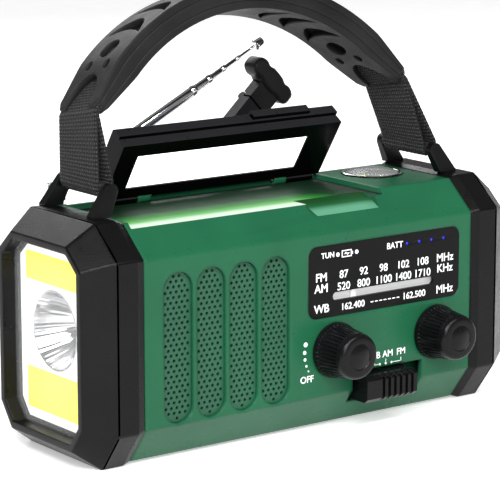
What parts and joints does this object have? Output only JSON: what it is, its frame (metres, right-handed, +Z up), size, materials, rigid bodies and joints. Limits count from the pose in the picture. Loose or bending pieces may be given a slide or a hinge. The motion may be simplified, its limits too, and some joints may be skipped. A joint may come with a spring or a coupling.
{
  "type": "emergency radio",
  "caption": "Octagonal hand-crank emergency radio with a flip-up light and solar panel, telescopic antenna, compass, lamp end and a carrying handle on webbing straps.",
  "frame": {"origin": "middle of the body in X and Y, on the surface the radio stands on", "axes": "+X along the length towards the socket end, the lamp end is at -X; the dial and speaker face -Y; +Z up"},
  "size_m": [0.205, 0.0967, 0.1731],
  "materials": {
    "green_shell": "satin",
    "black_rubbery": "fine grain",
    "rubber_pad": "matt",
    "grille_green": "satin",
    "steel": "plain",
    "paper_cone": "matt",
    "gloss_black": "gloss",
    "grey_plastic": "matt",
    "white_plastic": "satin",
    "clear_led": "gloss",
    "black_plastic": "satin",
    "board_green": "satin",
    "cell_wrap": "gloss",
    "mirror_coat": "mirror",
    "phosphor": "matt",
    "clear_cover": "clear",
    "diffuser": "frosted",
    "solar": "gloss",
    "grey_crank": "satin",
    "nylon": "satin",
    "copper": "plain",
    "chrome": "polished",
    "webbing": "ribbed",
    "grip_rubber": "grained",
    "red_button": "satin",
    "port_rubber": "matt"
  },
  "bodies": {
    "case": {"front_shell": "green_shell", "rear_cover": "green_shell", "left_cap": "black_rubbery", "right_cap": "black_rubbery", "base_pad": "rubber_pad", "speaker_grille": "grille_green", "speaker_basket": "steel", "speaker_cone": "paper_cone", "dial_window": "gloss_black", "dial_plate": "grey_plastic", "indicator_lights": "clear_led", "volume_control": "steel", "tuning_capacitor": "white_plastic", "band_switch": "steel", "circuit_board": "board_green", "battery_cells": "cell_wrap", "battery_cradle": "black_plastic", "lamp_face": "white_plastic", "lamp_reflector": "mirror_coat", "lamp_led": "phosphor", "flood_panels": "phosphor", "lamp_lens": "clear_cover", "panel_hinge_pins": "steel", "compass_housing": "black_plastic", "compass_dome": "clear_cover", "gear_plate": "steel", "generator": "steel", "antenna_base": "black_plastic", "left_bracket": "black_plastic", "right_bracket": "black_plastic", "left_strap": "webbing", "right_strap": "webbing", "port_block": "steel", "rear_screws": "steel"},
    "panel": {"light_panel": "gloss_black", "light_diffuser": "diffuser", "solar_cell": "solar"},
    "handle": {"grip": "grip_rubber", "grip_rivets": "steel"},
    "crank": {"crank_shaft": "steel", "crank_arm": "grey_crank", "crank_gear": "nylon"},
    "crank_head": {"crank_knob": "grey_crank", "crank_grip": "grey_crank"},
    "idler": {"idler_gear": "nylon"},
    "rotor": {"generator_rotor": "copper"},
    "swivel": {"antenna_swivel": "chrome"},
    "antenna_1": {"antenna_tube": "chrome"},
    "antenna_2": {"antenna_section_2": "chrome"},
    "antenna_3": {"antenna_section_3": "chrome"},
    "antenna_4": {"antenna_section_4": "chrome"},
    "antenna_5": {"antenna_tip": "chrome"},
    "volume": {"volume_knob": "black_plastic"},
    "tuning": {"tuning_knob": "black_plastic"},
    "pointer": {"tuning_pointer": "white_plastic"},
    "slider": {"band_slider": "black_plastic"},
    "lamp_push": {"lamp_button": "black_plastic"},
    "alarm_push": {"alarm_button": "red_button"},
    "compass": {"compass_card": "gloss_black"},
    "flap": {"port_cover": "port_rubber"}
  },
  "joints": [
    {"name": "panel_hinge", "type": "hinge", "parent": "case", "child": "panel", "pos_m": [0, 0.0186, 0.0911], "axis": [-1, 0, 0], "range_deg": [-57, 33]},
    {"name": "handle_swing", "type": "hinge", "parent": "case", "child": "handle", "pos_m": [0, 0.0035, 0.1015], "axis": [-1, 0, 0], "range_deg": [-60, 10], "deforming": ["left_strap", "right_strap"]},
    {"name": "crank_turn", "type": "hinge", "parent": "case", "child": "crank", "pos_m": [-0.035, 0.041, 0.06], "axis": [0, 1, 0], "continuous": true},
    {"name": "crank_head_fold", "type": "hinge", "parent": "crank", "child": "crank_head", "pos_m": [0.02717, 0.044, 0.11797], "axis": [-0.682, 0, 0.7314], "range_deg": [0, 90]},
    {"name": "idler_spin", "type": "hinge", "parent": "case", "child": "idler", "pos_m": [-0.023, 0.0255, 0.03921], "axis": [0, 1, 0], "continuous": true},
    {"name": "rotor_spin", "type": "hinge", "parent": "case", "child": "rotor", "pos_m": [-0.0038, 0.02, 0.03921], "axis": [0, 1, 0], "continuous": true},
    {"name": "antenna_swivel_turn", "type": "hinge", "parent": "case", "child": "swivel", "pos_m": [-0.074, 0.0325, 0.095], "axis": [0, 0, 1], "range_deg": [0, 180]},
    {"name": "antenna_elbow", "type": "hinge", "parent": "swivel", "child": "antenna_1", "pos_m": [-0.074, 0.0325, 0.095], "axis": [0, -1, 0], "range_deg": [-27, 63]},
    {"name": "antenna_slide_2", "type": "slide", "parent": "antenna_1", "child": "antenna_2", "axis": [0.891, 0, 0.454], "range_m": [-0.0067, 0.045]},
    {"name": "antenna_slide_3", "type": "slide", "parent": "antenna_2", "child": "antenna_3", "axis": [0.891, 0, 0.454], "range_m": [-0.0057, 0.045]},
    {"name": "antenna_slide_4", "type": "slide", "parent": "antenna_3", "child": "antenna_4", "axis": [0.891, 0, 0.454], "range_m": [-0.0057, 0.045]},
    {"name": "antenna_slide_5", "type": "slide", "parent": "antenna_4", "child": "antenna_5", "axis": [0.891, 0, 0.454], "range_m": [-0.0057, 0.045]},
    {"name": "volume_turn", "type": "hinge", "parent": "case", "child": "volume", "pos_m": [0.0095, -0.04, 0.033], "axis": [0, 1, 0], "range_deg": [-150, 150]},
    {"name": "tuning_turn", "type": "hinge", "parent": "case", "child": "tuning", "pos_m": [0.0605, -0.04, 0.033], "axis": [0, 1, 0], "range_deg": [-110, 430]},
    {"name": "pointer_slide", "type": "slide", "parent": "case", "child": "pointer", "axis": [1, 0, 0], "range_m": [-0.0098, 0.0382]},
    {"name": "band_slide", "type": "slide", "parent": "case", "child": "slider", "axis": [1, 0, 0], "range_m": [0, 0.006]},
    {"name": "lamp_press", "type": "slide", "parent": "case", "child": "lamp_push", "axis": [0, -1, 0], "range_m": [0, 0.0012], "stiffness_N_per_m": 300},
    {"name": "alarm_press", "type": "slide", "parent": "case", "child": "alarm_push", "axis": [0, -1, 0], "range_m": [0, 0.0012], "stiffness_N_per_m": 300},
    {"name": "compass_spin", "type": "hinge", "parent": "case", "child": "compass", "pos_m": [0.062, 0.007, 0.0884], "axis": [0, 0, 1], "continuous": true},
    {"name": "port_cover_hinge", "type": "hinge", "parent": "case", "child": "flap", "pos_m": [0.1014, 0, 0.0536], "axis": [0, -1, 0], "range_deg": [0, 130]}
  ],
  "couplings": [
    {"joint": "idler_spin", "follows": "crank_turn", "ratio": -4},
    {"joint": "rotor_spin", "follows": "crank_turn", "ratio": 12},
    {"joint": "pointer_slide", "follows": "tuning_turn", "m_per_rad": 0.005072}
  ]
}
